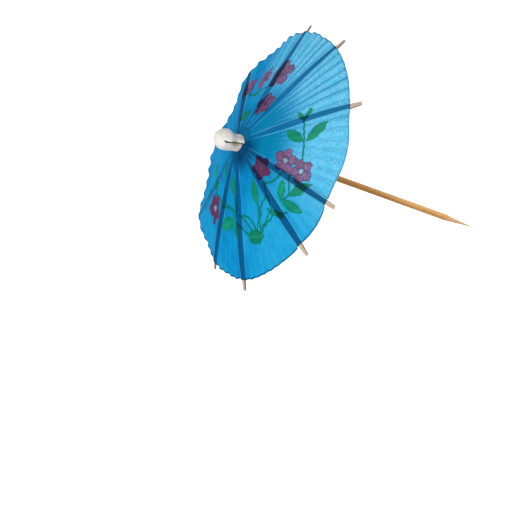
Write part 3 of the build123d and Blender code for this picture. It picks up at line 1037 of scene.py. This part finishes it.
# %% Sizes of the cap
cap_low, cap_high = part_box("cap")
cap_base, cap_top = cap_low.z, cap_high.z
cap_head, cap_foot, cap_wall = 3.5 * mm, 2.85 * mm, 0.42 * mm
cap_steps_up, cap_steps_round, row_crowding = 56, 120, 1.35
dome_from, dome_share = 0.56, 0.44
slit_top, slit_fade, slit_end = cap_base + 6.9 * mm, 2.2 * mm, 0.3 * mm
slit_head_turn, slit_foot_turn = math.radians(265), math.radians(278)
slit_wide, slit_closing = 0.62 * mm, 0.42 * mm
lap = 0.16
flap_turn, flap_high, flap_out, flap_lift = math.radians(46), 2.6 * mm, 1.1 * mm, 0.35 * mm
neck_turn, neck_wide, neck_level, neck_tall, neck_deep = math.radians(72), 0.85, 0.3, 0.2, 0.8 * mm
crumple_deep, crumples_round = 0.05 * mm, 9
foot_shift, head_shift = 0.2 * mm, 0.35 * mm
print("cap: from", round(cap_base / mm, 2), "to", round(cap_top / mm, 2), "mm")


# %% Cap as a rolled sheet
def ease(value):
    """A smooth step from 0 to 1."""
    value = min(max(value, 0.0), 1.0)
    return value * value * (3 - 2 * value)


cap_rows = []
for i in range(cap_steps_up + 1):
    height = cap_base + (cap_top - cap_base) * (1 - (1 - i / cap_steps_up) ** row_crowding)
    level = (height - cap_base) / (cap_top - cap_base)
    dome = math.sqrt(max(0.0, 1 - max(0.0, (level - dome_from) / dome_share) ** 2))
    radius = (cap_foot + (cap_head - cap_foot) * ease(level / 0.55)) * dome
    opened = ease((slit_top - height) / slit_fade)
    below = ease((slit_top - height) / (slit_top - cap_base))
    slit_turn = slit_head_turn + (slit_foot_turn - slit_head_turn) * below
    slit_gap = ease((slit_top - height) / slit_end) * (slit_wide - slit_closing * below)
    slit_angle = slit_gap / max(radius, 0.5 * mm)
    low = ease(1 - (height - cap_base) / flap_high)
    neck_here = math.exp(-(((level - neck_level) / neck_tall) ** 2))
    shift = foot_shift + head_shift * ease(level * 1.4)
    row = []
    for j in range(cap_steps_round + 1):
        way = j / cap_steps_round * (math.tau - slit_angle)
        winding = lap * opened * (0.5 - way / math.tau)
        flap = low * ease(1 - way / flap_turn) * opened
        neck = math.exp(-(((way - neck_turn) / neck_wide) ** 2)) * neck_here
        crumple = crumple_deep * math.sin(crumples_round * way + 5 * level) * ease(1 - level * 1.6)
        spread = radius * (1 + winding) + flap_out * flap + (crumple - neck_deep * neck) * dome
        lean = slit_turn + way
        x, y = spread * math.cos(lean) - shift * dome, spread * math.sin(lean)
        row.append((x, y, height + flap_lift * flap))
    cap_rows.append(row)
cap = skin("cap_roll", cap_rows)
outer_points = len(cap.data.vertices)
thicken(cap, cap_wall)
store(cap.data, "inside", (np.arange(len(cap.data.vertices)) >= outer_points).astype(float))
print("cap:", len(cap.data.polygons), "faces")

# %% Soft white plastic
cap_plastic, t, where = new_finish("soft white plastic")
px, py, pz = parts_of(where)
up_cap = pz - cap_base
dimples = noise(where, 700.0, 3.0)
foot = up_cap.under(0.5 * mm, 4.5 * mm)
# A brown patch of painted shade near the slit.
slit_shade_side = px.under(-0.3 * mm, 0.4 * mm) * px.over(-2.2 * mm, -1.0 * mm)
slit_shade_band = up_cap.over(0.8 * mm, 2 * mm) * up_cap.under(3.4 * mm, 5 * mm)
slit_shade = slit_shade_side * py.under(-1.8 * mm, -0.8 * mm) * slit_shade_band
shade = coats(
    (240, 230, 220),
    (dimples.over(0.35, 0.65), (250, 246, 238)),
    # Darker, browner patches towards the foot.
    (foot * noise(where, 420.0, 3.0).over(0.4, 0.62) * 0.4, (214, 192, 172)),
    (slit_shade * noise(where, 900.0, 2.0).over(0.2, 0.55) * 0.9, (148, 118, 74)),
    # Inner faces painted nearly black: painted shade inside the cap.
    (attribute(t, "inside").over(0.1, 0.7) * 0.92, (34, 20, 16)),
)
surface(shade, 0.45, bump(dimples, 0.25, 0.12 * mm), milky(0.25, 1.2 * mm, 0.9 * mm, 0.7 * mm))
dress(cap, cap_plastic, "root", "cap_plastic", "cap")
print("cap finish:", len(t.nodes), "nodes")

# %% [markdown]
# ## Wood
# The stick, slats and collars are raw light wood, and what shows is the grain: long pale and brown streaks
# with short dark pores. One maker takes the grain's direction and stretches the noise along it.

# %% A wood maker
grain_stretch = 0.045


def make_wood(name, pale, brown, dark, turn=0.0, along=2, roughness=0.62, sides=None, cut_point=None):
    """Raw wood with its grain along one axis of the piece, after a turn about the stick.

    sides is the colour of painted shade on a slat's side faces, and cut_point that of the fresh wood on the
    stick's point.
    """
    finish, t, where = new_finish(name)

    def turned(vector):
        """The parts of a vector in the slat's own direction."""
        inputs = {"Vector": vector, "Rotation": (0.0, 0.0, turn)}
        return parts_of(wire(t, node(t, "ShaderNodeMapping", inputs, vector_type="TEXTURE")))

    grain = [part * (grain_stretch if i == along else 1.0) for i, part in enumerate(turned(where))]
    grain_at = point(*grain)
    streaks = noise(grain_at, 1700.0, 4.0, 0.6)
    bands = noise(grain_at, 480.0, 2.0)
    pores = noise(grain_at, 5200.0, 2.0)
    layers = [
        (bands.over(0.36, 0.64), pale),
        (streaks.under(0.34, 0.5) * 0.7, brown),
        (pores.under(0.3, 0.38) * 0.6, dark),
    ]
    if sides:
        # Painted shade on a slat's side faces.
        faces = wire(t, node(t, "ShaderNodeTexCoord"), "Normal")
        layers.append((turned(faces)[1].calc("ABSOLUTE").over(0.55, 0.8) * 0.85, sides))
    if cut_point:
        shoulder = parts_of(where)[2] + noise(where, 500.0) * 1.6 * mm
        layers.append((shoulder.under(-0.6 * mm, 1.2 * mm) * 0.75, cut_point))
    relief = bump(streaks + pores * 0.6, 0.3, 0.06 * mm)
    surface(coats(brown, *layers), roughness, relief, {"Specular IOR Level": 0.3})
    return finish


print("wood maker ready")

# %% [markdown]
# ## Stick
# A round pick, cut to a long point by a sharpener: the cut wood is paler than the polished shank, and
# slightly faceted. It is a lathe shape with a little unevenness in the point.

# %% Stick and its finish
stick_low, stick_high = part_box("stick")
point_end, stick_end, shank_top = stick_low.z, stick_high.z, 62 * mm
stick_radius, tip_radius, facet_depth = 1.0 * mm, 0.15 * mm, 0.035 * mm
turns = even_turns(48)
profile = [(0.0, point_end), (0.1 * mm, point_end), (tip_radius, point_end + 0.06 * mm)]
for share_up in np.linspace(0.05, 1, 24):
    radius = tip_radius + (stick_radius - tip_radius) * share_up
    facet = facet_depth * math.sin(math.pi * share_up)
    facets = facet * np.abs(np.sin(3.5 * turns + 4 * share_up)) - facet
    profile.append((radius + facets, point_end * (1 - share_up)))
profile += [(stick_radius, z) for z in np.linspace(1 * mm, shank_top, 40)]
profile += [(0.95 * mm, stick_end - 0.08 * mm), (0.88 * mm, stick_end), (0.0, stick_end)]
stick = skin("stick_turned", [round_axis(r, turns, z) for r, z in profile], around=True)
stick_colours = (206, 152, 84), (168, 112, 44), (112, 70, 24)
stick_wood = make_wood("polished stick wood", *stick_colours, roughness=0.5, cut_point=(196, 160, 122))
dress(stick, stick_wood, "root", "stick_wood", "stick")
print("stick:", len(stick.data.polygons), "faces")

# %% [markdown]
# ## Slats and collars
# The ribs and stretchers are split from thin board, so the grain follows each slat, and each gets the same
# wood turned to its own direction. These pieces have the right shape in the CAD model and keep it.

# %% Wood for the slats and collars
rib_colours = (226, 208, 190), (206, 182, 160), (146, 114, 88)
# Painted shade on the ribs' side faces.
rib_side_shade = (96, 70, 46)
stretcher_colours = (222, 190, 150), (190, 150, 104), (130, 94, 60)
collar_colours = (216, 176, 124), (182, 136, 84), (120, 84, 46)
for k, turned in enumerate(rib_turns):
    rib_wood = make_wood(f"split rib wood {k + 1}", *rib_colours, turned, 0, sides=rib_side_shade)
    cover(frame["nodes"][f"rib_{k + 1}"], rib_wood)
    stretcher_wood = make_wood(f"stretcher wood {k + 1}", *stretcher_colours, turned, 0)
    cover(frame["nodes"][f"stretcher_{k + 1}"], stretcher_wood)
collar_wood = make_wood("turned collar wood", *collar_colours)
for collar in ("hub", "runner"):
    cover(frame["nodes"][collar], collar_wood)
print("wood on", 2 * rib_count + 2, "CAD pieces")

# %% [markdown]
# ## Thread, rolled paper and the ring
# The ribs and stretchers hinge on loops of cotton thread, which show in the slots of the collars. Under the
# runner sits a rolled strip of grey newsprint as a spacer, made as a spiral sheet, and under that a slice
# of milky tube, a turned ring that grips the stick and keeps the umbrella open.

# %% Cotton thread
thread, t, where = new_finish("cotton thread")
fuzz = noise(where, 6000.0, 3.0)
strands = {"Vector": where, "Scale": 900.0, "Distortion": 1.5}
twist = wire(t, node(t, "ShaderNodeTexWave", strands, bands_direction="DIAGONAL"), "Fac")
cotton = coats(
    (206, 198, 180),
    (fuzz.over(0.3, 0.7), (236, 230, 216)),
    (twist.under(0.1, 0.4) * 0.45, (150, 140, 120)),
)
surface(cotton, 0.9, bump(twist + fuzz, 0.5, 0.05 * mm), {"Sheen Weight": 0.3})
threads = ["hub_thread", "runner_thread", *[f"tie_{k + 1}" for k in range(rib_count)]]
for loop in threads:
    cover(frame["nodes"][loop], thread)
print("thread on", len(threads), "CAD pieces")

# %% Rolled newsprint
sleeve_low, sleeve_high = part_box("runner_sleeve")
sleeve_outer, sleeve_inner, sleeve_turns = (sleeve_high.x - sleeve_low.x) / 2, 1.16 * mm, 5
sleeve_slip, sleeve_room, newsprint_thickness = 0.06 * mm, 0.07 * mm, 0.11 * mm
ways = np.linspace(0, sleeve_turns * math.tau, sleeve_turns * 48 + 1)
winding = sleeve_inner + (sleeve_outer - sleeve_inner) * ways / ways[-1]
roll_rows = []
for share_up in np.linspace(0, 1, 7):
    slip = sleeve_slip * np.sin(ways * 0.37) * (abs(share_up - 0.5) * 2)
    rise = (sleeve_high.z - sleeve_low.z - 2 * sleeve_room) * share_up
    roll_rows.append(round_axis(winding, ways, sleeve_low.z + sleeve_room + rise + slip))
sleeve = skin("newsprint_roll", roll_rows)
thicken(sleeve, newsprint_thickness)

newsprint, t, where = new_finish("grey newsprint")
pulp = noise(where, 2600.0, 4.0, 0.65)
grey = coats((176, 170, 158), (pulp.over(0.35, 0.65), (206, 200, 188)))
surface(grey, 0.85, bump(pulp, 0.3, 0.05 * mm))
dress(sleeve, newsprint, "runner", "rolled_newsprint", "runner_sleeve")
print("newsprint roll:", sleeve_turns, "turns,", round(2 * sleeve_outer / mm, 2), "mm across")

# %% Retaining ring
ring_low, ring_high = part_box("retaining_ring")
ring_outer, ring_inner, soft_edge = (ring_high.x - ring_low.x) / 2, 1.03 * mm, 0.14 * mm
profile = []
for radius, height, start in (
    (ring_outer - soft_edge, ring_low.z + soft_edge, -90),
    (ring_outer - soft_edge, ring_high.z - soft_edge, 0),
    (ring_inner + soft_edge, ring_high.z - soft_edge, 90),
    (ring_inner + soft_edge, ring_low.z + soft_edge, 180),
):
    for step in range(5):
        a = math.radians(start + 22.5 * step)
        profile.append((radius + soft_edge * math.cos(a), height + soft_edge * math.sin(a)))
turns = even_turns(56)
grip = skin("grip_ring", [round_axis(r, turns, z) for r, z in profile], around=True, closed=True)

tube, t, where = new_finish("milky tube plastic")
haze = noise(where, 900.0, 2.0)
cloudy = coats((222, 222, 214), (haze.over(0.35, 0.65), (240, 240, 234)))
surface(cloudy, 0.32, bump(haze, 0.1, 0.05 * mm), milky(0.3, 1 * mm, 1 * mm, 1 * mm))
dress(grip, tube, "retaining_ring", "ring_plastic", "retaining_ring")
print("grip ring:", round(2 * ring_outer / mm, 2), "mm across")

# %% [markdown]
# ## Floor, light and background
# The picture has a plain white ground and even light, some of it from behind the paper. A wide soft lamp
# above does most of the work, a low one behind the paper makes it glow, and the sky fills the shadows.
# Floor and sky are white only to the camera and to reflections, so that a white ground puts no more light
# on the object.


# %% Floor and sky
def seen_by_camera(tree):
    """1 for what the camera or a reflection sees, 0 for light that falls on things."""
    path = node(tree, "ShaderNodeLightPath")
    through = wire(tree, path, "Is Transmission Ray") - wire(tree, path, "Is Diffuse Ray")
    seen = wire(tree, path, "Is Camera Ray").calc("MAXIMUM", wire(tree, path, "Is Glossy Ray"))
    return seen.calc("MAXIMUM", through)


white = (1, 1, 1, 1)
floor_half, floor_z, floor_grey, floor_lift = 6, -0.2, 0.82, 0.75
sky_fill, sky_white = 0.52, 1.0
corners = [[(x, y, floor_z) for y in (-floor_half, floor_half)] for x in (-floor_half, floor_half)]
floor = skin("floor", corners, turn_out=False)
floor_paint, t, _ = new_finish("pale floor")
matt = node(t, "ShaderNodeBsdfDiffuse", {"Color": (floor_grey, floor_grey, floor_grey, 1)})
lift = node(t, "ShaderNodeEmission", {"Color": white, "Strength": seen_by_camera(t) * floor_lift})
pale = node(t, "ShaderNodeAddShader", {0: wire(t, matt), 1: wire(t, lift)})
from_below = wire(t, node(t, "ShaderNodeNewGeometry"), "Backfacing")
clear = node(t, "ShaderNodeBsdfTransparent")
finish_with(t, node(t, "ShaderNodeMixShader", {0: from_below, 1: wire(t, pale), 2: wire(t, clear)}))
cover(floor, floor_paint)
floor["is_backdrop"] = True

sky = bpy.data.worlds.new("studio")
sky.use_nodes = True
t = sky.node_tree
t.nodes.clear()
fill = node(t, "ShaderNodeBackground", {"Color": white, "Strength": sky_fill})
ground = node(t, "ShaderNodeBackground", {"Color": white, "Strength": sky_white})
mixed = node(t, "ShaderNodeMixShader", {0: seen_by_camera(t), 1: wire(t, fill), 2: wire(t, ground)})
node(t, "ShaderNodeOutputWorld", {"Surface": wire(t, mixed)})
bpy.context.scene.world = sky
print("floor at", floor_z, "m")

# %% Lamps
canopy_middle = Vector((0, 0, 0.07))


def soft_lamp(name, place, size, power):
    """A square lamp that looks at the middle of the canopy."""
    lamp = bpy.data.lights.new(name, "AREA")
    lamp.size, lamp.energy = size, power
    made = add_to_scene(name, lamp)
    made.location = place
    made.rotation_euler = (canopy_middle - Vector(place)).to_track_quat("-Z", "Y").to_euler()
    made.visible_camera = False


soft_lamp("key", (-0.5, -0.9, 1.1), 0.9, 11.0)
soft_lamp("glow", (0.1, -0.04, -0.17), 0.3, 0.8)
print("two lamps")

# %% [markdown]
# ## Finish
# The colours are shown plainly, without a film look.

# %% Colour and size
bpy.context.scene.view_settings.view_transform = "Standard"
dressed_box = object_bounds()
sizes = {"cad": [list(c) for c in cad_box], "dressed": [list(c) for c in dressed_box]}
for name, box in sizes.items():
    print(name, "box in mm:", [[round(v / mm, 2) for v in c] for c in box])
